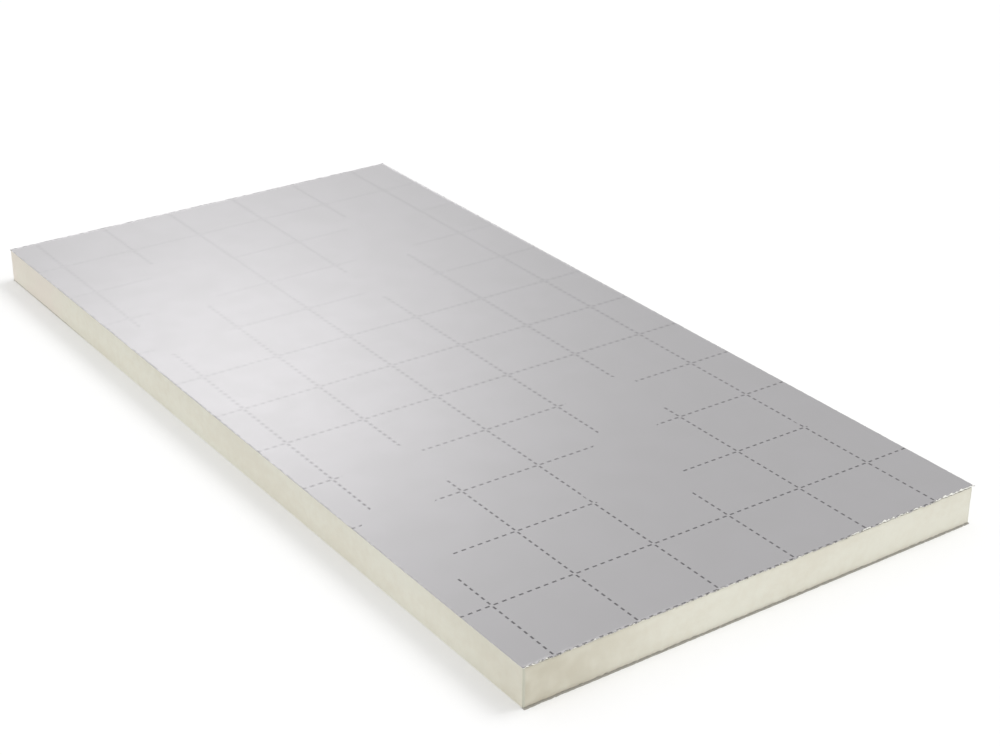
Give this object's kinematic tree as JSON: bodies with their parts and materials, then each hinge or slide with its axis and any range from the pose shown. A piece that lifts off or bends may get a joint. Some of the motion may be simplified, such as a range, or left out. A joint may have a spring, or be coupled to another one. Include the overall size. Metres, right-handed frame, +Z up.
{
  "type": "foil-faced polyiso insulation board",
  "caption": "Flat rectangular slab of rigid cream foam with a thin aluminium foil facer bonded to each face, for insulating floors, walls and roofs.",
  "frame": {"origin": "centre of the underside, on the surface that the board lies on", "axes": "+X along the board's length, +Y across its width, +Z up through its thickness, out of the printed face"},
  "size_m": [1.2, 0.6, 0.045],
  "materials": {
    "foam": "sawn closed-cell foam, pale cream",
    "printed_foil": "satin foil printed with a dashed grey grid",
    "plain_foil": "satin foil, unprinted"
  },
  "bodies": {
    "root": {"foam_core": "foam", "top_facer": "printed_foil", "bottom_facer": "plain_foil"}
  },
  "joints": []
}
